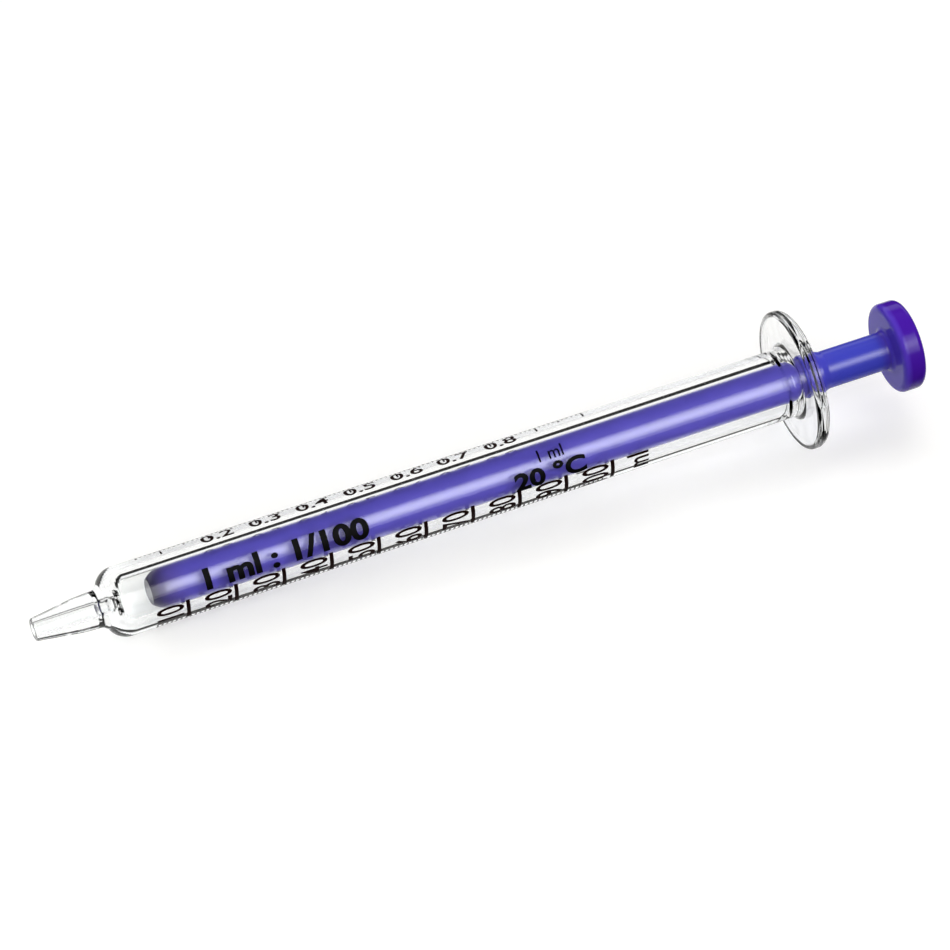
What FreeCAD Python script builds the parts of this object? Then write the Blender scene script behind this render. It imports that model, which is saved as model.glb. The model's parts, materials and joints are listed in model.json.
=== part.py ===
"""All-glass one millilitre syringe, lying on a table as it comes to rest.

Two pieces of glass make it: a clear barrel, and a blue-violet plunger that is ground to slide
in the barrel's bore. Both are turned forms about one axis. Each has its own frame, with its
axis along x: the barrel's starts at the end face of its nozzle, the plunger's at the face of
its nose. The placements at the end lay both on the table, z = 0, with the thumb button towards
+x. The barrel rests on its shoulder and on the rim of its finger flange, so the axis rises a
little towards the button. Sizes are in millimetres.
"""

import FreeCAD, Part
import math
import os

import Sketcher

# Driving sizes: name, value and what it measures.
DRIVING = [
    ("bore_diameter", 4.72, "ground bore of the barrel"),
    ("scale_length", 57.15, "from the zero line to the full line: one millilitre in that bore"),
    ("running_gap", 0.03, "gap all round between bore and rod"),
    ("tube_diameter", 8.1, "outside of the barrel's tube"),
    ("guide_length", 24.85, "from the full line to the barrel's open end"),
    ("nozzle_end_diameter", 2.6, "outside of the nozzle at its end"),
    ("nozzle_base_diameter", 4.05, "outside of the nozzle where its cone ends"),
    ("nozzle_root_diameter", 4.3, "outside of the nozzle where it meets the shoulder"),
    ("nozzle_cone_length", 5.25, "length of the nozzle's cone"),
    ("nozzle_root_length", 2.85, "length of the plain root behind the cone"),
    ("nozzle_end_bevel", 0.25, "bevel of the nozzle's end"),
    ("nozzle_root_bevel", 0.5, "slope that fills the corner between nozzle and shoulder"),
    ("channel_diameter", 1.4, "channel through the nozzle"),
    ("channel_end_bevel", 0.12, "bevel of the channel at the nozzle's end"),
    ("channel_inlet_bevel", 0.25, "bevel of the channel at the bottom of the bore"),
    ("shoulder_length", 2.35, "length of the domed shoulder"),
    ("end_wall", 1.8, "from the foot of the shoulder to the bottom of the bore"),
    ("bore_bottom_round", 1.3, "rounding of the bore at its bottom"),
    ("mouth_gap", 0.25, "gap all round between the mouth and the plunger's collar"),
    ("mouth_depth", 3.0, "depth of the wider mouth, its cone included"),
    ("mouth_cone_length", 0.4, "length of the cone between bore and mouth"),
    ("mouth_lip_bevel", 0.3, "bevel of the mouth's lip"),
    ("flange_diameter", 16.5, "outside of the finger flange"),
    ("flange_thickness", 1.65, "thickness of the finger flange"),
    ("flange_front_round", 0.45, "rounding of the rim towards the nozzle"),
    ("flange_rear_round", 0.8, "rounding of the rim towards the button"),
    ("flange_hub_round", 0.8, "hollow rounding between tube and flange"),
    ("nose_face_diameter", 3.0, "flat face of the plunger's nose"),
    ("nose_length", 1.84, "length of the rounded nose"),
    ("nose_edge_bevel", 0.15, "bevel of the edge of the nose's face"),
    ("end_gap", 0.08, "left between nose and bore bottom when the plunger is pushed home"),
    ("drawn_out", 3.65, "how far the plunger is drawn out as it lies"),
    ("collar_diameter", 5.0, "collar left unground behind the rod"),
    ("collar_start_length", 0.3, "length of the slope up to the collar"),
    ("collar_length", 0.6, "length of the collar's plain part"),
    ("collar_slope_length", 0.8, "length of the slope down to the neck"),
    ("collar_round", 0.8, "rounding of the collar's rear edge"),
    ("neck_diameter", 4.45, "neck between collar and button"),
    ("neck_length", 7.95, "length of the neck"),
    ("button_diameter", 10.6, "thumb button"),
    ("button_thickness", 2.85, "thickness of the thumb button"),
    ("button_round", 0.75, "rounding of both edges of the button"),
    ("button_hub_round", 0.65, "hollow rounding between neck and button"),
]

# Places and sizes that follow from the driving ones: name and formula.
DERIVED = [
    ("bore_radius", "Sizes.bore_diameter / 2"),
    ("rod_radius", "bore_radius - Sizes.running_gap"),
    ("tube_radius", "Sizes.tube_diameter / 2"),
    ("nozzle_root_radius", "Sizes.nozzle_root_diameter / 2"),
    ("channel_radius", "Sizes.channel_diameter / 2"),
    ("collar_radius", "Sizes.collar_diameter / 2"),
    ("mouth_radius", "collar_radius + Sizes.mouth_gap"),
    ("flange_radius", "Sizes.flange_diameter / 2"),
    ("neck_radius", "Sizes.neck_diameter / 2"),
    ("button_radius", "Sizes.button_diameter / 2"),
    ("capacity", "pi * bore_radius ^ 2 * Sizes.scale_length"),
    ("shoulder_place", "Sizes.nozzle_cone_length + Sizes.nozzle_root_length"),
    ("tube_place", "shoulder_place + Sizes.shoulder_length"),
    ("shoulder_step", "tube_radius - nozzle_root_radius"),
    ("shoulder_round", "(Sizes.shoulder_length ^ 2 + shoulder_step ^ 2) / (2 * shoulder_step)"),
    ("bottom_place", "shoulder_place + Sizes.end_wall"),
    ("bore_depth", "Sizes.end_gap + Sizes.nose_length + Sizes.scale_length + Sizes.guide_length"),
    ("rear_place", "bottom_place + bore_depth"),
    ("flange_place", "rear_place - Sizes.flange_thickness"),
    ("mouth_place", "rear_place - Sizes.mouth_depth"),
    ("mouth_full_place", "mouth_place + Sizes.mouth_cone_length"),
    ("nose_face_radius", "Sizes.nose_face_diameter / 2"),
    ("nose_step", "rod_radius - nose_face_radius"),
    ("nose_round", "(Sizes.nose_length ^ 2 + nose_step ^ 2) / (2 * nose_step)"),
    ("collar_place", "mouth_full_place - bottom_place - Sizes.end_gap"),
    ("collar_full_place", "collar_place + Sizes.collar_start_length"),
    ("collar_end_place", "collar_full_place + Sizes.collar_length"),
    ("neck_place", "collar_end_place + Sizes.collar_slope_length"),
    ("button_place", "neck_place + Sizes.neck_length"),
    ("plunger_length", "button_place + Sizes.button_thickness"),
    ("nose_rest_place", "bottom_place + Sizes.end_gap + Sizes.drawn_out"),
    # The table touches two rings: the rounding of the flange's front edge and that of the shoulder.
    ("rim_place", "flange_place + Sizes.flange_front_round"),
    ("rim_depth", "flange_radius - Sizes.flange_front_round"),
    ("heel_depth", "tube_radius - shoulder_round"),
    ("ring_spacing", "rim_place - tube_place"),
    ("ring_drop", "rim_depth - heel_depth"),
    ("ring_distance", "sqrt(ring_spacing ^ 2 + ring_drop ^ 2)"),
    ("round_difference", "Sizes.flange_front_round - shoulder_round"),
    ("axis_tilt", "atan(ring_drop / ring_spacing) + asin(round_difference / ring_distance)"),
    ("axis_lift", "rim_depth * cos(axis_tilt) - rim_place * sin(axis_tilt) + Sizes.flange_front_round"),
    # The two ends of the whole syringe along x, as it lies.
    ("nozzle_reach", "-(Sizes.nozzle_end_diameter / 2 - Sizes.nozzle_end_bevel) * sin(axis_tilt)"),
    ("button_edge_place", "nose_rest_place + plunger_length - Sizes.button_round"),
    ("button_reach", "button_edge_place * cos(axis_tilt)"
                     " + (button_radius - Sizes.button_round) * sin(axis_tilt) + Sizes.button_round"),
    ("middle", "(nozzle_reach + button_reach) / 2"),
]


# The two ways to ease an edge.
ROUND = "PartDesign::Fillet"
BEVEL = "PartDesign::Chamfer"


def make_sheets(doc):
    """Write the driving sizes and the values that follow from them to two sheets."""
    sizes = doc.addObject("Spreadsheet::Sheet", "Sizes")
    for row, (name, value, meaning) in enumerate(DRIVING, start=1):
        sizes.set(f"A{row}", name)
        sizes.set(f"B{row}", str(value))
        sizes.setAlias(f"B{row}", name)
        sizes.set(f"C{row}", meaning)
    places = doc.addObject("Spreadsheet::Sheet", "Places")
    doc.recompute()
    for row, (name, formula) in enumerate(DERIVED, start=1):
        places.set(f"A{row}", name)
        places.set(f"B{row}", "=" + formula)
        places.setAlias(f"B{row}", name)
        doc.recompute()
    return sizes, places


def number(owner, formula):
    """Value of a formula, as a plain number."""
    value = owner.evalExpression(formula)
    return float(getattr(value, "Value", value))


def origin_plane(body, role):
    """One of a body's own origin planes."""
    return next(plane for plane in body.Origin.OriginFeatures if plane.Role == role)


def arc_between(first, last, radius):
    """Arc of a given radius from one point to the next, bulging away from the axis."""
    chord = last.sub(first)
    middle = first.add(last).multiply(0.5)
    height = math.sqrt(max(radius ** 2 - (chord.Length / 2) ** 2, 0.0))
    across = FreeCAD.Vector(chord.y, -chord.x, 0).normalize()
    centre = middle.add(across.multiply(height))
    start = math.atan2(last.y - centre.y, last.x - centre.x)
    end = math.atan2(first.y - centre.y, first.x - centre.x)
    circle = Part.Circle(centre, FreeCAD.Vector(0, 0, 1), radius)
    return Part.ArcOfCircle(circle, start, end)


def half_section(body, label, corners):
    """Sketch a closed half section beside the x axis.

    Each corner gives the formulas of its place along the axis and of its radius. A third entry
    is the radius of the arc that leads to it from the corner before.
    """
    sketch = body.newObject("Sketcher::SketchObject", label)
    sketch.AttachmentSupport = [(origin_plane(body, "XY_Plane"), "")]
    sketch.MapMode = "FlatFace"
    points = [FreeCAD.Vector(number(body, c[0]), number(body, c[1]), 0) for c in corners]
    count = len(corners)
    ends = []
    for index in range(count):
        first, last = points[index], points[(index + 1) % count]
        target = corners[(index + 1) % count]
        if len(target) > 2:
            edge = sketch.addGeometry(arc_between(first, last, number(body, target[2])))
            bound = sketch.addConstraint(Sketcher.Constraint("Radius", edge, number(body, target[2])))
            sketch.setExpression(f"Constraints[{bound}]", target[2])
            ends.append((edge, 2, 1))
        else:
            edge = sketch.addGeometry(Part.LineSegment(first, last))
            ends.append((edge, 1, 2))
    for index, corner in enumerate(corners):
        edge, start, _ = ends[index]
        before, _, finish = ends[index - 1]
        sketch.addConstraint(Sketcher.Constraint("Coincident", before, finish, edge, start))
        point = points[index]
        for kind, formula, value in (("DistanceX", corner[0], point.x), ("DistanceY", corner[1], point.y)):
            bound = sketch.addConstraint(Sketcher.Constraint(kind, -1, 1, edge, start, value))
            sketch.setExpression(f"Constraints[{bound}]", formula)
    return sketch


def turn(body, kind, label, section):
    """Turn a half section about the x axis, to add or to cut glass."""
    feature = body.newObject(kind, label)
    feature.Profile = section
    feature.ReferenceAxis = (section, ["H_Axis"])
    feature.Angle = 360
    section.Visibility = False
    body.Document.recompute()
    return feature


def ease_rings(body, kind, label, size, rings):
    """Round or bevel the circular edges at the given places along the axis, with the given radii."""
    base = body.Tip
    names = []
    for place, ring_radius in rings:
        x, r = number(body, place), number(body, ring_radius)
        found = [
            f"Edge{index}"
            for index, edge in enumerate(base.Shape.Edges, start=1)
            if isinstance(edge.Curve, Part.Circle)
            and abs(edge.Curve.Center.x - x) < 1e-4
            and abs(edge.Curve.Radius - r) < 1e-4
        ]
        if not found:
            raise RuntimeError(f"{label}: no edge at {place} with radius {ring_radius}")
        names += found
    feature = body.newObject(kind, label)
    feature.Base = (base, names)
    feature.setExpression("Radius" if kind == ROUND else "Size", size)
    body.Document.recompute()
    return feature


def make_barrel(doc):
    """Clear barrel: nozzle, domed shoulder, tube with its ground bore, and finger flange."""
    body = doc.addObject("PartDesign::Body", "Barrel")
    body.Label = "barrel"
    outside = half_section(body, "BarrelOutside", [
        ("0", "0"),
        ("0", "Sizes.nozzle_end_diameter / 2"),
        ("Sizes.nozzle_cone_length", "Sizes.nozzle_base_diameter / 2"),
        ("Places.shoulder_place", "Places.nozzle_root_radius"),
        ("Places.tube_place", "Places.tube_radius", "Places.shoulder_round"),
        ("Places.flange_place", "Places.tube_radius"),
        ("Places.flange_place", "Places.flange_radius"),
        ("Places.rear_place", "Places.flange_radius"),
        ("Places.rear_place", "0"),
    ])
    turn(body, "PartDesign::Revolution", "BarrelBlank", outside)
    ease_rings(body, BEVEL, "NozzleRoot", "Sizes.nozzle_root_bevel",
               [("Places.shoulder_place", "Places.nozzle_root_radius")])
    ease_rings(body, ROUND, "FlangeHub", "Sizes.flange_hub_round",
               [("Places.flange_place", "Places.tube_radius")])
    ease_rings(body, ROUND, "FlangeFront", "Sizes.flange_front_round",
               [("Places.flange_place", "Places.flange_radius")])
    ease_rings(body, ROUND, "FlangeRear", "Sizes.flange_rear_round",
               [("Places.rear_place", "Places.flange_radius")])
    inside = half_section(body, "BarrelInside", [
        ("0", "0"),
        ("0", "Places.channel_radius"),
        ("Places.bottom_place", "Places.channel_radius"),
        ("Places.bottom_place", "Places.bore_radius"),
        ("Places.mouth_place", "Places.bore_radius"),
        ("Places.mouth_full_place", "Places.mouth_radius"),
        ("Places.rear_place", "Places.mouth_radius"),
        ("Places.rear_place", "0"),
    ])
    solid_volume = body.Shape.Volume
    turn(body, "PartDesign::Groove", "Bore", inside)
    if body.Shape.Volume > solid_volume - number(body, "Places.capacity"):
        raise RuntimeError("the bore cut too little")
    ease_rings(body, ROUND, "BoreBottom", "Sizes.bore_bottom_round",
               [("Places.bottom_place", "Places.bore_radius")])
    ease_rings(body, BEVEL, "ChannelInlet", "Sizes.channel_inlet_bevel",
               [("Places.bottom_place", "Places.channel_radius")])
    ease_rings(body, BEVEL, "ChannelEnd", "Sizes.channel_end_bevel", [("0", "Places.channel_radius")])
    ease_rings(body, BEVEL, "NozzleEnd", "Sizes.nozzle_end_bevel", [("0", "Sizes.nozzle_end_diameter / 2")])
    ease_rings(body, BEVEL, "MouthLip", "Sizes.mouth_lip_bevel", [("Places.rear_place", "Places.mouth_radius")])
    return body


def make_plunger(doc):
    """Blue-violet plunger: rounded nose, ground rod, unground collar, neck and thumb button."""
    body = doc.addObject("PartDesign::Body", "Plunger")
    body.Label = "plunger"
    outside = half_section(body, "PlungerOutside", [
        ("0", "0"),
        ("0", "Places.nose_face_radius"),
        ("Sizes.nose_length", "Places.rod_radius", "Places.nose_round"),
        ("Places.collar_place", "Places.rod_radius"),
        ("Places.collar_full_place", "Places.collar_radius"),
        ("Places.collar_end_place", "Places.collar_radius"),
        ("Places.neck_place", "Places.neck_radius"),
        ("Places.button_place", "Places.neck_radius"),
        ("Places.button_place", "Places.button_radius"),
        ("Places.plunger_length", "Places.button_radius"),
        ("Places.plunger_length", "0"),
    ])
    turn(body, "PartDesign::Revolution", "PlungerBlank", outside)
    ease_rings(body, BEVEL, "NoseEdge", "Sizes.nose_edge_bevel", [("0", "Places.nose_face_radius")])
    ease_rings(body, ROUND, "CollarRear", "Sizes.collar_round",
               [("Places.collar_end_place", "Places.collar_radius"),
                ("Places.neck_place", "Places.neck_radius")])
    ease_rings(body, ROUND, "ButtonHub", "Sizes.button_hub_round",
               [("Places.button_place", "Places.neck_radius")])
    ease_rings(body, ROUND, "ButtonEdges", "Sizes.button_round",
               [("Places.button_place", "Places.button_radius"),
                ("Places.plunger_length", "Places.button_radius")])
    return body


def lay_down(body, along):
    """Lay a piece on the table, its own start at a place along the barrel's axis."""
    body.Placement = FreeCAD.Placement(FreeCAD.Vector(), FreeCAD.Rotation(FreeCAD.Vector(0, -1, 0), 1))
    body.setExpression("Placement.Rotation.Angle", "Places.axis_tilt")
    body.setExpression("Placement.Base.x", f"({along}) * cos(Places.axis_tilt) - Places.middle")
    body.setExpression("Placement.Base.z", f"({along}) * sin(Places.axis_tilt) + Places.axis_lift")


def check(doc):
    """Stop if any object failed to build."""
    for obj in doc.Objects:
        if "Invalid" in obj.State or "Error" in obj.State:
            raise RuntimeError(f"{obj.Label} failed: {obj.State}")


def main():
    """Build both pieces, lay them down and write one file for each."""
    doc = FreeCAD.newDocument("GlassSyringe")
    make_sheets(doc)
    pieces = {"barrel": make_barrel(doc), "plunger": make_plunger(doc)}
    lay_down(pieces["barrel"], "0")
    lay_down(pieces["plunger"], "Places.nose_rest_place")
    doc.recompute()
    check(doc)
    for name, body in pieces.items():
        if body.Shape.isNull() or not body.Shape.isValid() or len(body.Shape.Solids) != 1:
            raise RuntimeError(f"{name} is not one valid solid")
    os.makedirs("parts", exist_ok=True)
    for name, body in pieces.items():
        body.Shape.exportStep(f"parts/{name}.step")
        box = body.Shape.BoundBox
        print(f"{name}: {body.Shape.Volume:.1f} mm3, x {box.XMin:.2f} to {box.XMax:.2f},"
              f" z {box.ZMin:.3f} to {box.ZMax:.2f}")
    barrel = pieces["barrel"]
    print(f"axis tilt {number(barrel, 'Places.axis_tilt'):.3f} degrees,"
          f" capacity {number(barrel, 'Places.capacity'):.1f} mm3")


main()
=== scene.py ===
"""Looks of an all-glass one millilitre syringe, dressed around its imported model.

The barrel is clear borosilicate glass, the plunger is blue-violet glass with a ground rod, and the
print on the barrel is fired enamel, dark brown and black. Both pieces of glass are turned again
here from their real sizes, fine enough for smooth refraction, and stand for the model's own two
nodes. The sizes of the barrel, the plunger and the print are millimetres along and around the
syringe's own axis; every mesh is in metres.
"""

import json
import logging
import math
from collections.abc import Iterable, Sequence
from dataclasses import dataclass, field
from enum import Enum

import bmesh
import bpy
from mathutils import Matrix, Vector

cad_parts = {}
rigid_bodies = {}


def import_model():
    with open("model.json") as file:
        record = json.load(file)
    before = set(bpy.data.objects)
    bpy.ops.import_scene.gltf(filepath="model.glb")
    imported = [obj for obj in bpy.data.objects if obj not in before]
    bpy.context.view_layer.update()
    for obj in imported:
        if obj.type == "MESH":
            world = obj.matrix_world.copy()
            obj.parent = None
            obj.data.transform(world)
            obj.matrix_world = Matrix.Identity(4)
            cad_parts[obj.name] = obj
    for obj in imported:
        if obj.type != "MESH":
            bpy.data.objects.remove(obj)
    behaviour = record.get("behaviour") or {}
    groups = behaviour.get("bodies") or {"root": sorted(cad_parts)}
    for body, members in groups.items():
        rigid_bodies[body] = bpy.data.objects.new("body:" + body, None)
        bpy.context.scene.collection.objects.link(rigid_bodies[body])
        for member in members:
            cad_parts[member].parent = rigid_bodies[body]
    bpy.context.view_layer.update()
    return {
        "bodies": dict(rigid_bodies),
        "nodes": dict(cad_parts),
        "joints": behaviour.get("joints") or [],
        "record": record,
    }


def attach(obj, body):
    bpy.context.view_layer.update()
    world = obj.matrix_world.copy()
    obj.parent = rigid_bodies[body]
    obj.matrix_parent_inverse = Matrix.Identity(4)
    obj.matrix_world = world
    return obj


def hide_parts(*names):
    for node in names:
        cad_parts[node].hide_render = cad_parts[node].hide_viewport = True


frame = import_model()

LOG = logging.getLogger("glass_syringe")
MM = 0.001

# The photograph's own frame: its side in pixels, and one pixel's width on the object.
PHOTO_SIDE = 950
MM_PER_PIXEL = 0.1129

WHITE = (1, 1, 1, 1)


class Reading(Enum):
    """Which way a printed line runs on the barrel."""

    ALONG = "from the nozzle towards the flange"
    AROUND = "up around the barrel, the tops of the figures towards the nozzle"


class Ray(Enum):
    """Kinds of light path that a shader may tell apart."""

    CAMERA = "Is Camera Ray"
    SHADOW = "Is Shadow Ray"
    GLOSSY = "Is Glossy Ray"
    TRANSMISSION = "Is Transmission Ray"


def linear(colour: str) -> tuple[float, float, float, float]:
    """Turn an sRGB hex colour into linear light.

    Args:
        colour: six hex digits after a hash sign.

    Returns:
        Red, green, blue and an alpha of one.
    """
    parts = [int(colour[start:start + 2], 16) / 255 for start in (1, 3, 5)]
    red, green, blue = (
        part / 12.92 if part <= 0.04045 else ((part + 0.055) / 1.055) ** 2.4 for part in parts
    )
    return red, green, blue, 1.0


def add_node(
    tree: bpy.types.NodeTree, kind: str, inputs: dict | None = None, **settings: object,
) -> bpy.types.Node:
    """Add a shader node with its settings and links.

    Args:
        tree: the node tree that gets the node.
        kind: the node's type name.
        inputs: for each input, by name or number, a value or the output socket that feeds it.
        settings: the node's own properties.

    Returns:
        The new node.
    """
    added = tree.nodes.new(kind)
    for name, value in settings.items():
        setattr(added, name, value)
    for name, value in (inputs or {}).items():
        if isinstance(value, bpy.types.NodeSocket):
            tree.links.new(value, added.inputs[name])
        else:
            added.inputs[name].default_value = value
    return added


def fresh_material(name: str) -> tuple[bpy.types.Material, bpy.types.NodeTree]:
    """Make a material with an empty node tree.

    Args:
        name: the material's name.

    Returns:
        The material and its tree.
    """
    material = bpy.data.materials.new(name)
    material.use_nodes = True
    material.node_tree.nodes.clear()
    return material, material.node_tree


def finished(shape: bmesh.types.BMesh, name: str, place: Matrix, smooth: bool) -> bpy.types.Object:
    """Put a finished shape into the scene, its place in its mesh.

    Args:
        shape: the shape, which is freed.
        name: the piece's name.
        place: matrix from the shape's own space to the model's frame.
        smooth: whether its faces shade smooth.

    Returns:
        The new object.
    """
    bmesh.ops.transform(shape, matrix=place, verts=shape.verts)
    mesh = bpy.data.meshes.new(name)
    shape.to_mesh(mesh)
    shape.free()
    mesh.polygons.foreach_set("use_smooth", [smooth] * len(mesh.polygons))
    piece = bpy.data.objects.new(name, mesh)
    bpy.context.scene.collection.objects.link(piece)
    return piece


@dataclass(frozen=True)
class Axis:
    """The syringe's own axis as it lies.

    Args:
        end: the end of the nozzle.
        along: the way towards the button.
    """

    end: Vector
    along: Vector

    @classmethod
    def of(cls, packed: dict) -> "Axis":
        """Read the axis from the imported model's nozzle mount and its slide.

        Args:
            packed: what the frame gives.

        Returns:
            The axis.
        """
        nozzle = next(mount for mount in packed["record"]["mounts"] if mount["name"] == "nozzle")
        return cls(Vector(nozzle["pos_m"]), Vector(packed["joints"][0]["axis"]).normalized())

    def matrix(self) -> Matrix:
        """Matrix from millimetres along, across and above the axis to metres in the frame.

        Returns:
            The matrix.
        """
        across = Vector((0, 1, 0))
        up = self.along.cross(across)
        turn = Matrix((self.along, across, up)).transposed().to_4x4()
        return Matrix.Translation(self.end) @ turn @ Matrix.Scale(MM, 4)

    def point(self, along: float) -> Vector:
        """Place in the model's frame at so many millimetres from the end of the nozzle."""
        return self.end + self.along * along * MM

    def ramp(
        self, tree: bpy.types.NodeTree, stops: Sequence[tuple[float, Sequence[float]]],
    ) -> bpy.types.NodeSocket:
        """Colour, or share, that changes along the axis.

        Args:
            tree: the node tree.
            stops: for each place in millimetres, in order, the colour there.

        Returns:
            The colour at the shaded point.
        """
        first, last = stops[0][0], stops[-1][0]
        place = add_node(tree, "ShaderNodeTexCoord").outputs["Object"]
        offset = add_node(tree, "ShaderNodeVectorMath", {
            0: place, 1: self.end,
        }, operation="SUBTRACT")
        length = add_node(tree, "ShaderNodeVectorMath", {
            0: offset.outputs[0], 1: self.along,
        }, operation="DOT_PRODUCT")
        share = add_node(tree, "ShaderNodeMapRange", {
            "Value": length.outputs["Value"], "From Min": first * MM, "From Max": last * MM,
        })
        shade = add_node(tree, "ShaderNodeValToRGB", {"Fac": share.outputs["Result"]})
        elements = shade.color_ramp.elements
        while len(elements) < len(stops):
            elements.new(0.5)
        for element, (where, colour) in zip(elements, stops):
            element.position = (where - first) / (last - first)
            element.color = colour
        return shade.outputs["Color"]


@dataclass(frozen=True)
class Corner:
    """One corner of a turned outline, in millimetres.

    Args:
        along: place along the axis.
        radius: distance from the axis.
        ease: radius that the corner is rounded with.
        arc: radius of the arc that leads here from the corner before, bulging outwards.
    """

    along: float
    radius: float
    ease: float = 0.0
    arc: float = 0.0

    def place(self) -> Vector:
        """The corner as a flat vector."""
        return Vector((self.along, self.radius))


@dataclass
class Lathe:
    """Turns outlines about the x axis into smooth closed meshes.

    Args:
        steps: facets around the axis.
        arc_step: largest turn between two points of an arc, in radians.
        arc_parts: fewest parts of an arc.
        guard: how close to a long run's ends its guards stand.
        weld: distance under which two points become one.
    """

    steps: int = 192
    arc_step: float = math.radians(7.5)
    arc_parts: int = 3
    guard: float = 0.04
    weld: float = 0.001

    def arc(self, centre: Vector, radius: float, start: Vector, end: Vector) -> list[Vector]:
        """Points of the shorter arc between two places, both ends included.

        Args:
            centre: the arc's centre.
            radius: its radius.
            start: where it starts, seen from its centre.
            end: where it ends, seen from its centre.

        Returns:
            The points in order.
        """
        first = math.atan2(start.y, start.x)
        sweep = math.remainder(math.atan2(end.y, end.x) - first, math.tau)
        count = max(self.arc_parts, math.ceil(abs(sweep) / self.arc_step))
        angles = [first + sweep * index / count for index in range(count + 1)]
        return [centre + radius * Vector((math.cos(angle), math.sin(angle))) for angle in angles]

    def rounded(self, before: Vector, corner: Vector, after: Vector, ease: float) -> list[Vector]:
        """Round one corner between two straight runs.

        Args:
            before: the point before the corner.
            corner: the corner itself.
            after: the point after it.
            ease: radius of the rounding.

        Returns:
            Points of the rounding.
        """
        first, last = (before - corner).normalized(), (after - corner).normalized()
        half = first.angle(last) / 2
        centre = corner + (first + last).normalized() * ease / math.sin(half)
        start = corner + first * ease / math.tan(half) - centre
        end = corner + last * ease / math.tan(half) - centre
        return self.arc(centre, ease, start, end)

    def bulge(self, first: Vector, last: Vector, radius: float) -> list[Vector]:
        """Arc from one point to the next that bulges away from the axis, without its first point.

        Args:
            first: where the arc starts.
            last: where it ends.
            radius: its radius.

        Returns:
            Points of the arc.
        """
        chord = last - first
        height = math.sqrt(max(radius ** 2 - (chord.length / 2) ** 2, 0.0))
        side = Vector((chord.y, -chord.x)).normalized()
        centre = (first + last) / 2 + side * height * math.copysign(1, chord.x)
        return self.arc(centre, radius, first - centre, last - centre)[1:]

    def outline(self, corners: Sequence[Corner], closed: bool) -> list[Vector]:
        """Work out an outline's points, with its arcs, its roundings and its guards.

        Args:
            corners: the outline's corners in order.
            closed: whether the last corner leads back to the first.

        Returns:
            The points in order.
        """
        points: list[Vector] = []
        last = len(corners) - 1
        for index, corner in enumerate(corners):
            place = corner.place()
            if corner.arc:
                points += self.bulge(points[-1], place, corner.arc)
            elif corner.ease and (closed or 0 < index < last):
                before = corners[index - 1].place()
                after = corners[(index + 1) % len(corners)].place()
                points += self.rounded(before, place, after, corner.ease)
            else:
                points.append(place)
        return self.guarded(points, closed)

    def guarded(self, points: list[Vector], closed: bool) -> list[Vector]:
        """Add a point close to both ends of every long run, so that flats shade flat.

        Args:
            points: the outline's points.
            closed: whether the last point leads back to the first.

        Returns:
            The points with their guards.
        """
        found: list[Vector] = []
        for index, point in enumerate(points):
            found.append(point)
            if index == len(points) - 1 and not closed:
                break
            run = points[(index + 1) % len(points)] - point
            if run.length > 4 * self.guard:
                found.append(point + run.normalized() * self.guard)
                found.append(point + run - run.normalized() * self.guard)
        return found

    def turned(
        self, name: str, corners: Sequence[Corner], closed: bool, place: Matrix,
    ) -> bpy.types.Object:
        """Turn an outline about the axis.

        Args:
            name: the piece's name.
            corners: the outline's corners.
            closed: whether the outline is a closed loop, as a tube's is.
            place: matrix that lays the piece down.

        Returns:
            The new piece.
        """
        shape = bmesh.new()
        points = self.outline(corners, closed)
        ring = [shape.verts.new((point.x, 0.0, point.y)) for point in points]
        pairs = list(zip(ring, ring[1:])) + ([(ring[-1], ring[0])] if closed else [])
        edges = [shape.edges.new(pair) for pair in pairs]
        bmesh.ops.spin(
            shape, geom=ring + edges, cent=(0, 0, 0), axis=(1, 0, 0), angle=math.tau,
            steps=self.steps, use_merge=True, use_duplicate=False,
        )
        bmesh.ops.remove_doubles(shape, verts=shape.verts, dist=self.weld)
        bmesh.ops.recalc_face_normals(shape, faces=shape.faces)
        return finished(shape, name, place, smooth=True)


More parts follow.
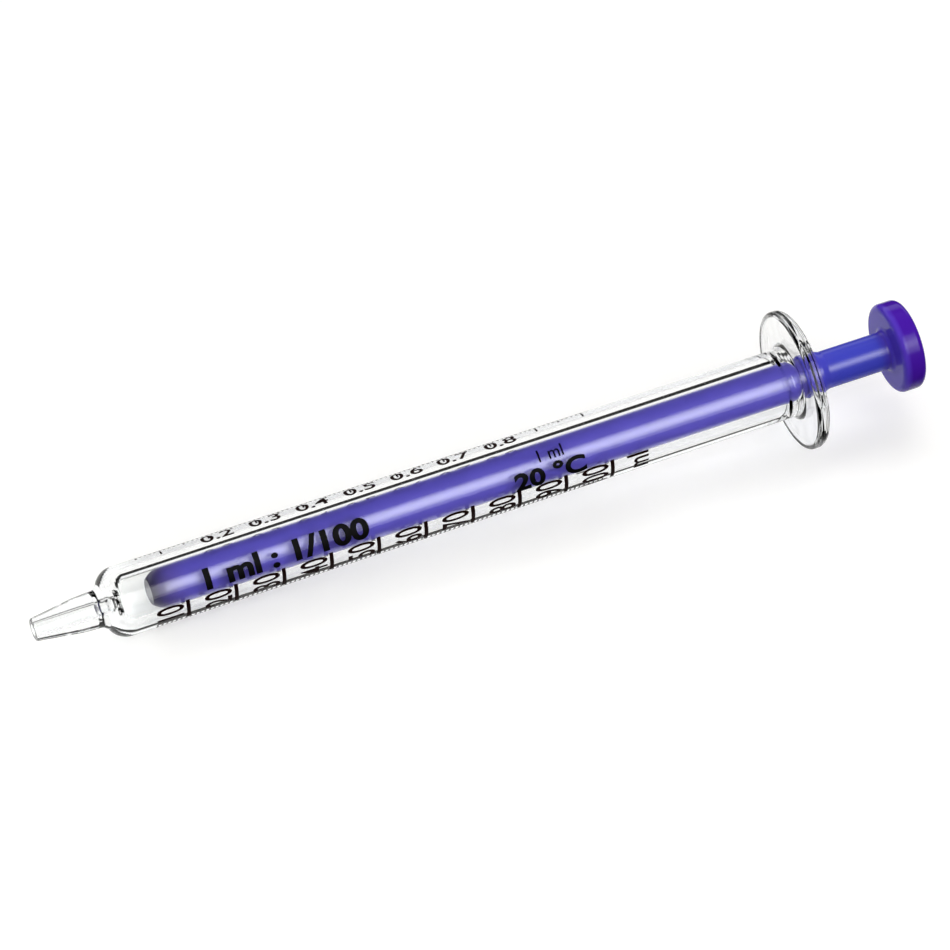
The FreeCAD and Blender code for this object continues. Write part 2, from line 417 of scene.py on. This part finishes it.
@dataclass(frozen=True)
class ClearGlass:
    """Fire-polished borosilicate glass: a colourless drawn tube with a mirror-smooth surface.

    Where it was worked in the flame, at the shoulder and the flange, its surface is slightly
    uneven, and that breaks up what is seen through it. It lets lamplight through to the plunger and
    the table, a little weakened.

    Args:
        name: the material's name.
        tint: colour that the light takes on in the glass.
        shade: colour that lamplight takes on at each wall.
        ior: refractive index.
        waves: for each place along the syringe, in millimetres, how uneven the surface is there.
        wave_mm: width of one wave.
        depth_mm: depth of a full wave.
    """

    name: str = "fire_polished_borosilicate"
    tint: str = "#fdfefe"
    shade: str = "#f3f5f7"
    ior: float = 1.474
    waves: tuple[tuple[float, float], ...] = (
        (0.0, 0.02), (5.0, 0.05), (7.0, 0.8), (10.0, 0.8), (11.5, 0.02), (90.0, 0.02),
        (91.4, 0.8), (92.1, 0.1), (92.5, 0.1), (93.3, 0.6), (94.0, 0.5),
    )
    wave_mm: float = 2.4
    depth_mm: float = 0.12

    def material(self, axis: Axis) -> bpy.types.Material:
        """Make the material.

        Args:
            axis: the syringe's axis, from which the unevenness is placed.

        Returns:
            The material.
        """
        material, tree = fresh_material(self.name)
        place = add_node(tree, "ShaderNodeTexCoord").outputs["Object"]
        wave = add_node(tree, "ShaderNodeTexNoise", {
            "Vector": place, "Scale": 1 / (self.wave_mm * MM), "Detail": 0.0,
        })
        worked = axis.ramp(tree, [(where, (share,) * 3 + (1.0,)) for where, share in self.waves])
        bump = add_node(tree, "ShaderNodeBump", {
            "Height": wave.outputs["Fac"], "Strength": worked, "Distance": self.depth_mm * MM,
        })
        glass = add_node(tree, "ShaderNodeBsdfPrincipled", {
            "Base Color": linear(self.tint),
            "Roughness": 0.0,
            "IOR": self.ior,
            "Transmission Weight": 1.0,
            "Normal": bump.outputs["Normal"],
        })
        open_glass = add_node(tree, "ShaderNodeBsdfTransparent", {"Color": linear(self.shade)})
        path = add_node(tree, "ShaderNodeLightPath")
        mixed = add_node(tree, "ShaderNodeMixShader", {
            0: path.outputs[Ray.SHADOW.value],
            1: glass.outputs[0],
            2: open_glass.outputs[0],
        })
        add_node(tree, "ShaderNodeOutputMaterial", {"Surface": mixed.outputs[0]})
        return material


@dataclass(frozen=True)
class VioletGlass:
    """Cobalt-violet glass, deep enough that its body looks solid.

    Its colour follows the thickness: blue in the neck, violet in the thick button. The ground rod
    greys and darkens towards its nose, which is painted shade, and the button is lightest at the
    rounding of its front edge, which is a painted highlight. Polished it mirrors the lamps in a
    narrow band. Ground it has a fine satin face that spreads them wider.

    Args:
        name: the material's name.
        roughness: how far the face spreads a reflection.
        ior: refractive index, matched to how strongly the face mirrors: most where it is ground.
        colours: for each place along the syringe, in millimetres, the colour there.
        grain: strength of the grinding marks, none on a polished face.
        grit_mm: width of one grinding mark.
        depth_mm: its depth.
    """

    name: str
    roughness: float
    ior: float
    colours: tuple[tuple[float, str], ...]
    grain: float = 0.0
    grit_mm: float = 0.05
    depth_mm: float = 0.01

    def material(self, axis: Axis) -> bpy.types.Material:
        """Make the material.

        Args:
            axis: the syringe's axis, from which the colour's place is measured.

        Returns:
            The material.
        """
        material, tree = fresh_material(self.name)
        shade = axis.ramp(tree, [(where, linear(colour)) for where, colour in self.colours])
        glass = add_node(tree, "ShaderNodeBsdfPrincipled", {
            "Base Color": shade,
            "Roughness": self.roughness,
            "IOR": self.ior,
        })
        if self.grain:
            place = add_node(tree, "ShaderNodeTexCoord").outputs["Object"]
            grit = add_node(tree, "ShaderNodeTexNoise", {
                "Vector": place, "Scale": 1 / (self.grit_mm * MM), "Detail": 3.0,
            })
            bump = add_node(tree, "ShaderNodeBump", {
                "Height": grit.outputs["Fac"],
                "Strength": self.grain,
                "Distance": self.depth_mm * MM,
            })
            tree.links.new(bump.outputs["Normal"], glass.inputs["Normal"])
        add_node(tree, "ShaderNodeOutputMaterial", {"Surface": glass.outputs[0]})
        return material


@dataclass(frozen=True)
class Enamel:
    """Ceramic colour printed and fired on the glass: a thin, dark film with hardly any gloss.

    Args:
        name: the material's name.
        colour: the film's colour.
        roughness: how far its face spreads a reflection.
        ior: refractive index, low because the fired film hardly mirrors.
        grain: strength of its unevenness.
        grain_mm: width of one unevenness, drawn as coarse as it needs to show.
        depth_mm: its depth.
    """

    name: str
    colour: str
    roughness: float = 0.45
    ior: float = 1.1
    grain: float = 0.15
    grain_mm: float = 0.4
    depth_mm: float = 0.01

    def material(self) -> bpy.types.Material:
        """Make the material, with the faint unevenness of a fired print.

        Returns:
            The material.
        """
        material, tree = fresh_material(self.name)
        place = add_node(tree, "ShaderNodeTexCoord").outputs["Object"]
        cloud = add_node(tree, "ShaderNodeTexNoise", {
            "Vector": place, "Scale": 1 / (self.grain_mm * MM),
        })
        bump = add_node(tree, "ShaderNodeBump", {
            "Height": cloud.outputs["Fac"],
            "Strength": self.grain,
            "Distance": self.depth_mm * MM,
        })
        film = add_node(tree, "ShaderNodeBsdfPrincipled", {
            "Base Color": linear(self.colour),
            "Roughness": self.roughness,
            "IOR": self.ior,
            "Normal": bump.outputs["Normal"],
        })
        add_node(tree, "ShaderNodeOutputMaterial", {"Surface": film.outputs[0]})
        return material


@dataclass
class Barrel:
    """Clear barrel: nozzle, domed shoulder, tube with its bore, and finger flange; the bore, ground
    on the real syringe, is shaded as clear as the rest of the glass.
    """

    axis: Axis
    bore_radius: float = 2.36
    tube_radius: float = 4.05
    nozzle_end_radius: float = 1.3
    nozzle_end_round: float = 0.25
    nozzle_base_radius: float = 2.025
    nozzle_base_round: float = 0.6
    nozzle_root_radius: float = 2.15
    nozzle_root_round: float = 0.4
    nozzle_cone: float = 5.25
    shoulder_place: float = 8.1
    shoulder_length: float = 2.35
    shoulder_round: float = 2.40329
    root_slope: float = 0.5
    channel_radius: float = 0.7
    channel_end_round: float = 0.12
    channel_foot_round: float = 0.25
    bottom_place: float = 9.9
    bottom_round: float = 1.3
    mouth_radius: float = 2.75
    mouth_place: float = 90.82
    mouth_cone: float = 0.4
    mouth_rim_round: float = 0.3
    mouth_cone_round: float = 0.2
    flange_radius: float = 8.25
    flange_place: float = 92.17
    rear_place: float = 93.82
    hub_round: float = 0.8
    front_round: float = 0.45
    rear_round: float = 0.8
    lathe: Lathe = field(default_factory=Lathe)

    def corners(self) -> list[Corner]:
        """The barrel's half section: outside from the nozzle to the mouth, then back inside.

        Returns:
            The corners of a closed outline.
        """
        tube_place = self.shoulder_place + self.shoulder_length
        dome = Vector((tube_place, self.tube_radius - self.shoulder_round))
        root_angle = math.pi - math.asin((self.nozzle_root_radius - dome.y) / self.shoulder_round)
        angle = root_angle - self.root_slope / self.shoulder_round
        foot = dome + self.shoulder_round * Vector((math.cos(angle), math.sin(angle)))
        root_place = self.shoulder_place - self.root_slope
        return [
            Corner(0.0, self.channel_radius, self.channel_end_round),
            Corner(0.0, self.nozzle_end_radius, self.nozzle_end_round),
            Corner(self.nozzle_cone, self.nozzle_base_radius, self.nozzle_base_round),
            Corner(root_place, self.nozzle_root_radius, self.nozzle_root_round),
            Corner(foot.x, foot.y),
            Corner(tube_place, self.tube_radius, arc=self.shoulder_round),
            Corner(self.flange_place, self.tube_radius, self.hub_round),
            Corner(self.flange_place, self.flange_radius, self.front_round),
            Corner(self.rear_place, self.flange_radius, self.rear_round),
            Corner(self.rear_place, self.mouth_radius, self.mouth_rim_round),
            Corner(self.mouth_place + self.mouth_cone, self.mouth_radius, self.mouth_cone_round),
            Corner(self.mouth_place, self.bore_radius, self.mouth_cone_round),
            Corner(self.bottom_place, self.bore_radius, self.bottom_round),
            Corner(self.bottom_place, self.channel_radius, self.channel_foot_round),
        ]

    def build(self) -> bpy.types.Object:
        """Turn the barrel and dress it.

        Returns:
            The finished piece.
        """
        piece = self.lathe.turned("barrel_glass", self.corners(), True, self.axis.matrix())
        piece.data.materials.append(ClearGlass().material(self.axis))
        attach(piece, "barrel")
        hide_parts("barrel")
        return piece


@dataclass
class Plunger:
    """Blue-violet plunger: rounded nose, ground rod, unground collar, neck and thumb button.

    Its nose stands at a place from the end of the nozzle; its other places count from its nose.
    """

    axis: Axis
    nose_place: float = 13.63
    rod_radius: float = 2.33
    nose_face_radius: float = 1.5
    nose_length: float = 1.84
    nose_round: float = 2.4545
    collar_place: float = 81.24
    collar_radius: float = 2.5
    collar_start: float = 0.3
    collar_start_round: float = 0.1
    collar_length: float = 0.6
    collar_slope: float = 0.8
    collar_round: float = 0.8
    neck_radius: float = 2.225
    neck_length: float = 7.95
    button_radius: float = 5.3
    button_thickness: float = 2.85
    button_round: float = 0.75
    hub_round: float = 0.65
    lathe: Lathe = field(default_factory=Lathe)

    def collar_end(self) -> float:
        """Place where the collar's full width ends."""
        return self.collar_place + self.collar_start + self.collar_length

    def button_place(self) -> float:
        """Place where the button's face stands on the neck."""
        return self.collar_end() + self.collar_slope + self.neck_length

    def corners(self) -> list[Corner]:
        """The plunger's half section, from its nose to its button.

        Returns:
            The corners of an outline that starts and ends on the axis.
        """
        collar_full = self.collar_place + self.collar_start
        neck_place = self.collar_end() + self.collar_slope
        button_place = self.button_place()
        end = button_place + self.button_thickness
        return [
            Corner(0.0, 0.0),
            Corner(0.0, self.nose_face_radius),
            Corner(self.nose_length, self.rod_radius, arc=self.nose_round),
            Corner(self.collar_place, self.rod_radius, self.collar_start_round),
            Corner(collar_full, self.collar_radius, self.collar_start_round),
            Corner(self.collar_end(), self.collar_radius, self.collar_round),
            Corner(neck_place, self.neck_radius, self.collar_round),
            Corner(button_place, self.neck_radius, self.hub_round),
            Corner(button_place, self.button_radius, self.button_round),
            Corner(end, self.button_radius, self.button_round),
            Corner(end, 0.0),
        ]

    def finishes(self) -> tuple[VioletGlass, VioletGlass, VioletGlass]:
        """The plunger's faces in order: the ground rod, the collar and neck, the button.

        Returns:
            The three finishes.
        """
        return (
            # The rod's colour greys and darkens over its first millimetres from the nose: painted
            # shade on the rounded end.
            VioletGlass("ground_violet_glass", roughness=0.28, ior=1.6, grain=0.12, colours=(
                (13.6, "#241f3a"), (14.6, "#3e3568"), (16.4, "#4f4498"), (18.0, "#534aae"),
                (95.0, "#5148aa"),
            )),
            VioletGlass("fire_polished_violet_glass", roughness=0.2, ior=1.42, colours=(
                (95.0, "#4947c0"), (98.0, "#4247c4"), (103.0, "#4145c0"), (104.6, "#5034ac"),
            )),
            # The button's colour is lightest at 104.9 mm, on the rounding of its front edge: a
            # painted highlight along that edge.
            VioletGlass("thick_violet_glass", roughness=0.15, ior=1.32, colours=(
                (104.4, "#4c3abf"), (104.9, "#5a3cc6"), (105.5, "#4818a6"),
            )),
        )

    def build(self) -> bpy.types.Object:
        """Turn the plunger and dress it.

        Returns:
            The finished piece.
        """
        place = self.axis.matrix() @ Matrix.Translation((self.nose_place, 0, 0))
        piece = self.lathe.turned("plunger_glass", self.corners(), False, place)
        for finish in self.finishes():
            piece.data.materials.append(finish.material(self.axis))
        collar = self.collar_place
        button = self.button_place() - self.hub_round / 2
        back = place.inverted()
        for face in piece.data.polygons:
            along = (back @ face.center).x
            face.material_index = (along > collar) + (along > button)
        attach(piece, "plunger")
        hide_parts("plunger")
        return piece


@dataclass(frozen=True)
class Line:
    """One printed line of figures or letters.

    Args:
        text: what it says.
        height: height of its capitals.
        along: place along the barrel of its middle, or of its foot if it runs around.
        angle: place around the barrel of its middle, or of its end if it runs around.
        reading: which way it runs.
        weight: how much its strokes are thickened.
        squeeze: width of its figures as a share of their usual width.
    """

    text: str
    height: float
    along: float
    angle: float
    reading: Reading = Reading.ALONG
    weight: float = 0.0
    squeeze: float = 1.0


@dataclass
class Print:
    """Everything printed on the barrel: both scales, two rows of plain numbers and the legends.

    A place around the barrel is an angle in degrees, counted downwards from the meridian that faces
    the camera. A reach is the pair of angles that a bar runs between.
    """

    axis: Axis
    tube_radius: float = 4.05
    front_meridian: float = 44.53
    zero_place: float = 11.25
    scale_length: float = 57.15
    parts: int = 100
    bare_parts: int = 4
    ten_width: float = 0.46
    ten_reach: tuple[float, float] = (31.5, 75.0)
    fine_width: float = 0.22
    fine_start: float = 171.0
    fine_end: float = 184.5
    fine_five_end: float = 187.0
    fine_ten_end: float = 190.0
    base_reach: tuple[float, float] = (170.0, 171.6)
    film: float = 0.015
    sunk: float = 0.01
    cut: float = 0.12
    cap_share: float = 0.7
    curve_steps: int = 6
    weld: float = 0.001

    def around(self, angle: float) -> float:
        """Length around the barrel, from its top, of a place given in degrees."""
        return -self.tube_radius * math.radians(self.front_meridian + angle)

    def places(self) -> list[float]:
        """Places of the scale's parts along the barrel, the zero line's first."""
        step = self.scale_length / self.parts
        return [self.zero_place + step * index for index in range(self.parts + 1)]

    def wrapped(
        self, shape: bmesh.types.BMesh, name: str, finish: bpy.types.Material,
    ) -> bpy.types.Object:
        """Raise a flat shape to a film and lay it round the barrel.

        Args:
            shape: flat faces, along the barrel in x and around it in y.
            name: the piece's name.
            finish: its material.

        Returns:
            The finished piece.
        """
        low = min(vert.co.y for vert in shape.verts)
        high = max(vert.co.y for vert in shape.verts)
        for index in range(1, math.ceil((high - low) / self.cut)):
            bmesh.ops.bisect_plane(
                shape, geom=shape.verts[:] + shape.edges[:] + shape.faces[:],
                plane_co=(0, low + index * self.cut, 0), plane_no=(0, 1, 0),
            )
        raised = bmesh.ops.extrude_face_region(shape, geom=shape.faces[:])
        top = [item for item in raised["geom"] if isinstance(item, bmesh.types.BMVert)]
        bmesh.ops.translate(shape, verts=top, vec=(0, 0, self.film + self.sunk))
        bmesh.ops.recalc_face_normals(shape, faces=shape.faces)
        for vert in shape.verts:
            along, around, height = vert.co
            radius = self.tube_radius - self.sunk + height
            angle = around / self.tube_radius
            vert.co = (along, radius * math.sin(angle), radius * math.cos(angle))
        piece = finished(shape, name, self.axis.matrix(), smooth=False)
        piece.data.materials.append(finish)
        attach(piece, "barrel")
        return piece

    def bars(self, rows: Iterable[tuple[float, float, float, float]]) -> bmesh.types.BMesh:
        """Flat bars across the barrel.

        Args:
            rows: for each bar its place along, its width, and the two angles of its reach.

        Returns:
            The bars as one flat shape.
        """
        shape = bmesh.new()
        for along, width, start, end in rows:
            low, high = self.around(end), self.around(start)
            size = Matrix.Diagonal((width, high - low, 1, 1))
            place = Matrix.Translation((along, (low + high) / 2, 0)) @ size
            bmesh.ops.create_grid(shape, x_segments=1, y_segments=1, size=0.5, matrix=place)
        return shape

    def fine_bars(self) -> list[tuple[float, float, float, float]]:
        """Bars of the fine scale, longer at each fifth and tenth part, and its base line.

        Returns:
            For each bar its place along, its width, and the two angles of its reach.
        """
        shown = list(enumerate(self.places()))[self.bare_parts + 1:]
        rows = []
        for index, place in shown:
            if index % 10 == 0:
                end = self.fine_ten_end
            elif index % 5 == 0:
                end = self.fine_five_end
            else:
                end = self.fine_end
            rows.append((place, self.fine_width, self.fine_start, end))
        first, last = shown[0][1], shown[-1][1]
        rows.append(((first + last) / 2, last - first, *self.base_reach))
        return rows

    def flat_line(self, line: Line) -> bpy.types.Mesh:
        """Make one line of print as a flat mesh in its place.

        Args:
            line: the line.

        Returns:
            The mesh, along the barrel in x and around it in y.
        """
        curve = bpy.data.curves.new(line.text, "FONT")
        curve.body = line.text
        curve.size = line.height / self.cap_share
        curve.offset = line.weight
        curve.resolution_u = self.curve_steps
        carrier = bpy.data.objects.new(line.text, curve)
        bpy.context.scene.collection.objects.link(carrier)
        bpy.context.view_layer.update()
        outline = carrier.evaluated_get(bpy.context.evaluated_depsgraph_get())
        mesh = bpy.data.meshes.new_from_object(outline)
        bpy.data.objects.remove(carrier)
        bpy.data.curves.remove(curve)
        shape = bmesh.new()
        shape.from_mesh(mesh)
        bmesh.ops.remove_doubles(shape, verts=shape.verts, dist=self.weld)
        spread = [vert.co.x for vert in shape.verts]
        anchors = {
            Reading.ALONG: (Vector((-(min(spread) + max(spread)) / 2, -line.height / 2, 0)), 0.0),
            Reading.AROUND: (Vector((-max(spread), 0, 0)), math.pi / 2),
        }
        shift, turn = anchors[line.reading]
        place = Matrix.Translation((line.along, self.around(line.angle), 0))
        narrow = Matrix.Diagonal((line.squeeze, 1, 1, 1))
        whole = place @ Matrix.Rotation(turn, 4, "Z") @ narrow @ Matrix.Translation(shift)
        bmesh.ops.transform(shape, matrix=whole, verts=shape.verts)
        shape.to_mesh(mesh)
        shape.free()
        return mesh

    def lettering(self, lines: Iterable[Line]) -> bmesh.types.BMesh:
        """Put lines of print into one flat shape.

        Args:
            lines: the lines.

        Returns:
            The flat shape.
        """
        shape = bmesh.new()
        for line in lines:
            mesh = self.flat_line(line)
            shape.from_mesh(mesh)
            bpy.data.meshes.remove(mesh)
        return shape

    def build(self) -> list[bpy.types.Object]:
        """Print the barrel.

        Returns:
            The finished pieces.
        """
        places = self.places()
        around = Reading.AROUND
        tens = self.bars((place, self.ten_width, *self.ten_reach) for place in places[10::10])
        numbers = self.lettering(
            Line(
                str(index), height=3.15, along=places[index] - 0.6, angle=33.0, reading=around,
                weight=0.055, squeeze=0.54,
            )
            for index in range(10, self.parts + 1, 10)
        )
        tenths = self.lettering(
            Line(
                f"0.{tenth}", height=1.5, along=places[10 * tenth], angle=-64.5,
                weight=0.03, squeeze=1.5,
            )
            for tenth in range(2, 9)
        )
        unit = self.lettering([Line(
            "ml", height=2.6, along=places[-1] + 4.4, angle=34.0, reading=around,
            weight=0.05, squeeze=0.75,
        )])
        division = self.lettering([Line(
            "1 ml : 1/100", height=2.3, along=29.2, angle=8.5, weight=0.13, squeeze=1.28,
        )])
        capacity = self.lettering([Line(
            "1 ml", height=1.4, along=61.6, angle=-12.5, weight=0.02,
        )])
        temperature = self.lettering([Line(
            "20 \u00b0C", height=1.9, along=61.0, angle=19.0, weight=0.1, squeeze=1.35,
        )])
        brown = Enamel("brown_scale_enamel", "#1a0806").material()
        black = Enamel("black_legend_enamel", "#040304").material()
        return [
            self.wrapped(tens, "scale_ten_lines", brown),
            self.wrapped(self.bars(self.fine_bars()), "far_side_fine_scale", brown),
            self.wrapped(numbers, "scale_numbers", brown),
            self.wrapped(tenths, "upper_side_numbers", brown),
            self.wrapped(unit, "scale_unit_name", brown),
            self.wrapped(division, "division_legend", black),
            self.wrapped(capacity, "capacity_legend", black),
            self.wrapped(temperature, "temperature_legend", black),
        ]


@dataclass(frozen=True)
class SoftBox:
    """One lamp, hung about the syringe's axis.

    Args:
        name: the lamp's name.
        tilt: how far it hangs behind the side that faces the camera, in degrees.
        distance: how far away it hangs, in metres.
        length: its length along the syringe, in metres.
        depth: its length across it, in metres.
        radiance: how bright its face is, where a white table is one.
        lights: whether it lights matt faces.
        shows: whether it shows in glass, mirrored or seen through.
    """

    name: str
    tilt: float
    distance: float
    length: float
    depth: float
    radiance: float
    lights: bool = True
    shows: bool = True


@dataclass
class Studio:
    """Plain pale table, soft lamps and the photograph's own point of view.

    The aim is a place on the axis in millimetres, and its offset from the picture's middle in
    pixels. The table's lengths are metres. The table is painted with a pool of light, an oval about
    the syringe, and with painted shade beyond it, which is full at the given fade times the oval's
    half lengths. The backdrop's bounds are parts of a unit direction: its foot and top upwards, its
    side towards the back of the table. The lift is the share of white that is added to what the
    camera sees of the table, and, as a painted glow, to what the glass lets through of the pool.
    """

    axis: Axis
    aim_place: float = 53.5
    aim_right: float = 2.63
    aim_down: float = 8.95
    elevation: float = math.radians(43.1)
    azimuth: float = math.radians(22.85)
    focal_pixels: float = 6000.0
    sensor_mm: float = 36.0
    table_half: float = 3.0
    table_colour: str = "#e9e8e5"
    # Painted shade colour of the table beyond its painted pool of light, then that pool's middle,
    # half lengths and fade.
    dark_colour: str = "#0a0a0c"
    lit_middle: float = 0.0195
    lit_half_length: float = 0.088
    lit_half_depth: float = 0.0275
    lit_fade: float = 1.25
    lift: float = 0.27
    backdrop_foot: tuple[float, float] = (0.18, 0.23)
    backdrop_top: tuple[float, float] = (0.5, 0.6)
    backdrop_side: tuple[float, float] = (0.4, 0.6)
    room: float = 0.02
    ambient: float = 0.6

    def directions(self) -> tuple[Vector, Vector, Vector]:
        """The camera's own directions.

        Returns:
            Forward, right and up.
        """
        ce, se = math.cos(self.elevation), math.sin(self.elevation)
        ca, sa = math.cos(self.azimuth), math.sin(self.azimuth)
        return Vector((ce * sa, ce * ca, -se)), Vector((ca, -sa, 0)), Vector((se * sa, se * ca, ce))

    def camera(self) -> None:
        """Set up the camera."""
        forward, right, up = self.directions()
        data = bpy.data.cameras.new("camera")
        data.sensor_width = self.sensor_mm
        data.lens = data.sensor_width * self.focal_pixels / PHOTO_SIDE
        camera = bpy.data.objects.new("camera", data)
        bpy.context.scene.collection.objects.link(camera)
        seen = self.axis.point(self.aim_place)
        aim = seen - (right * self.aim_right - up * self.aim_down) * MM_PER_PIXEL * MM
        distance = self.focal_pixels * MM_PER_PIXEL * MM
        turn = Matrix((right, up, -forward)).transposed().to_4x4()
        camera.matrix_world = Matrix.Translation(aim - forward * distance) @ turn
        bpy.context.scene.camera = camera

    def table_material(self) -> bpy.types.Material:
        """Matt white in a painted pool of light about the syringe, and painted shade beyond it.

        The camera itself sees the table white all over. It and the glass see the pool lifted to
        full white by a painted glow, but for the object's own shadow. All other rays see it painted
        dark beyond the pool.

        Returns:
            The material.
        """
        material, tree = fresh_material("white_table")
        path = add_node(tree, "ShaderNodeLightPath")
        place = add_node(tree, "ShaderNodeTexCoord").outputs["Object"]
        # Painted pool of light: an oval about the syringe, beyond whose edge the table fades to
        # painted shade.
        patch = add_node(tree, "ShaderNodeMapping", {
            "Vector": place,
            "Location": (0, -self.lit_middle / self.lit_half_depth, 0),
            "Scale": (1 / self.lit_half_length, 1 / self.lit_half_depth, 1),
        })
        reach = add_node(tree, "ShaderNodeVectorMath", {0: patch.outputs[0]}, operation="LENGTH")
        beyond = add_node(tree, "ShaderNodeMapRange", {
            "Value": reach.outputs["Value"], "From Min": 1.0, "From Max": self.lit_fade,
        }, interpolation_type="SMOOTHSTEP")
        indirect = add_node(tree, "ShaderNodeMath", {
            0: 1.0, 1: path.outputs[Ray.CAMERA.value],
        }, operation="SUBTRACT")
        painted_shade_share = add_node(tree, "ShaderNodeMath", {
            0: beyond.outputs[0], 1: indirect.outputs[0],
        }, operation="MULTIPLY")
        matt = add_node(tree, "ShaderNodeBsdfDiffuse", {"Color": linear(self.table_colour)})
        # Painted shade: the dark colour the table takes beyond the painted pool, for all rays but
        # the camera's.
        dark = add_node(tree, "ShaderNodeBsdfDiffuse", {"Color": linear(self.dark_colour)})
        base = add_node(tree, "ShaderNodeMixShader", {
            0: painted_shade_share.outputs[0], 1: matt.outputs[0], 2: dark.outputs[0],
        })
        # Painted glow: white added all over for the camera, and inside the painted pool for what
        # the glass lets through.
        seen = add_node(tree, "ShaderNodeMath", {
            0: path.outputs[Ray.CAMERA.value], 1: path.outputs[Ray.TRANSMISSION.value],
        }, operation="MAXIMUM")
        lift = add_node(tree, "ShaderNodeMath", {
            0: seen.outputs[0], 1: self.lift,
        }, operation="MULTIPLY")
        pool_share = add_node(tree, "ShaderNodeMath", {0: 1.0, 1: painted_shade_share.outputs[0]}, operation="SUBTRACT")
        strength = add_node(tree, "ShaderNodeMath", {
            0: lift.outputs[0], 1: pool_share.outputs[0],
        }, operation="MULTIPLY")
        glow = add_node(tree, "ShaderNodeEmission", {
            "Color": WHITE, "Strength": strength.outputs[0],
        })
        both = add_node(tree, "ShaderNodeAddShader", {0: base.outputs[0], 1: glow.outputs[0]})
        add_node(tree, "ShaderNodeOutputMaterial", {"Surface": both.outputs[0]})
        return material

    def table(self) -> None:
        """Lay the table."""
        shape = bmesh.new()
        bmesh.ops.create_grid(shape, x_segments=8, y_segments=8, size=self.table_half)
        table = finished(shape, "table", Matrix.Identity(4), smooth=False)
        table.data.materials.append(self.table_material())

    def world(self) -> None:
        """Set up what stands around the table.

        The camera itself sees plain white. The glass mirrors and lets through a dark room with a
        white backdrop behind the table, a dark gap left between the two. All else gets an even,
        weak light.
        """
        world = bpy.data.worlds.new("studio")
        world.use_nodes = True
        tree = world.node_tree
        tree.nodes.clear()
        way = add_node(tree, "ShaderNodeTexCoord").outputs["Generated"]
        parts = add_node(tree, "ShaderNodeSeparateXYZ", {0: way})
        bounds = (
            ("Z", self.backdrop_foot, (0.0, 1.0)),
            ("Z", self.backdrop_top, (1.0, self.room)),
            ("Y", self.backdrop_side, (self.room, 1.0)),
        )
        above, below, behind = (
            add_node(tree, "ShaderNodeMapRange", {
                "Value": parts.outputs[part],
                "From Min": start, "From Max": end, "To Min": first, "To Max": last,
            }, interpolation_type="SMOOTHSTEP")
            for part, (start, end), (first, last) in bounds
        )
        band = add_node(tree, "ShaderNodeMath", {
            0: above.outputs[0], 1: below.outputs[0],
        }, operation="MULTIPLY")
        backdrop = add_node(tree, "ShaderNodeMath", {
            0: band.outputs[0], 1: behind.outputs[0],
        }, operation="MULTIPLY")
        path = add_node(tree, "ShaderNodeLightPath")
        by_glass = add_node(tree, "ShaderNodeMath", {
            0: path.outputs[Ray.GLOSSY.value], 1: path.outputs[Ray.TRANSMISSION.value],
        }, operation="MAXIMUM")
        bare, room, soft = (
            add_node(tree, "ShaderNodeBackground", {"Color": WHITE, "Strength": strength})
            for strength in (1.0, backdrop.outputs[0], self.ambient)
        )
        inner = add_node(tree, "ShaderNodeMixShader", {
            0: by_glass.outputs[0], 1: soft.outputs[0], 2: room.outputs[0],
        })
        whole = add_node(tree, "ShaderNodeMixShader", {
            0: path.outputs[Ray.CAMERA.value], 1: inner.outputs[0], 2: bare.outputs[0],
        })
        add_node(tree, "ShaderNodeOutputWorld", {"Surface": whole.outputs[0]})
        bpy.context.scene.world = world

    def hang(self, box: SoftBox) -> None:
        """Hang a soft box that faces the syringe.

        Args:
            box: the lamp.
        """
        forward = self.directions()[0]
        along = self.axis.along
        share = forward.dot(along)
        facing = (along * share - forward).normalized()
        around = Matrix.Rotation(math.radians(-box.tilt), 3, along) @ facing
        back = around * math.sqrt(1 - share ** 2) + along * share
        data = bpy.data.lights.new(box.name, "AREA")
        data.shape = "RECTANGLE"
        data.size, data.size_y = box.length, box.depth
        data.energy = box.radiance * math.pi * box.length * box.depth
        lamp = bpy.data.objects.new(box.name, data)
        bpy.context.scene.collection.objects.link(lamp)
        side = back.cross(along).normalized()
        turn = Matrix((side.cross(back), side, back)).transposed().to_4x4()
        middle = self.axis.point(self.aim_place)
        lamp.matrix_world = Matrix.Translation(middle + back * box.distance) @ turn
        lamp.visible_diffuse = box.lights
        lamp.visible_glossy = box.shows
        lamp.visible_transmission = box.shows

    def lamps(self) -> None:
        """Hang the key soft box, its two bright cores and a top light behind the object.

        The cores are seen only as the soft white band along the rod and the neck. The top light is
        screened from the glass, so that it is seen only by the light and the shadow that it casts.
        """
        key = {"tilt": -5.0, "distance": 0.6, "length": 0.55}
        boxes = (
            SoftBox("key_soft_box", **key, depth=0.47, radiance=1.9),
            SoftBox("key_core_wide", **key, depth=0.47 * 0.48, radiance=12.0, lights=False),
            SoftBox("key_core_narrow", **key, depth=0.47 * 0.24, radiance=12.0, lights=False),
            SoftBox(
                "top_soft_box", tilt=76.0, distance=0.7, length=0.6, depth=0.24, radiance=2.7,
                shows=False,
            ),
        )
        for box in boxes:
            self.hang(box)

    def build(self) -> None:
        """Set up table, surroundings, lamps and camera."""
        self.table()
        self.world()
        self.lamps()
        self.camera()
        bpy.context.scene.view_settings.view_transform = "Standard"


def main() -> None:
    """Build the syringe's pieces, then the studio around them."""
    logging.basicConfig(level=logging.INFO, format="%(name)s: %(message)s")
    axis = Axis.of(frame)
    pieces = [Barrel(axis).build(), Plunger(axis).build(), *Print(axis).build()]
    Studio(axis).build()


if __name__ == "__main__":
    main()
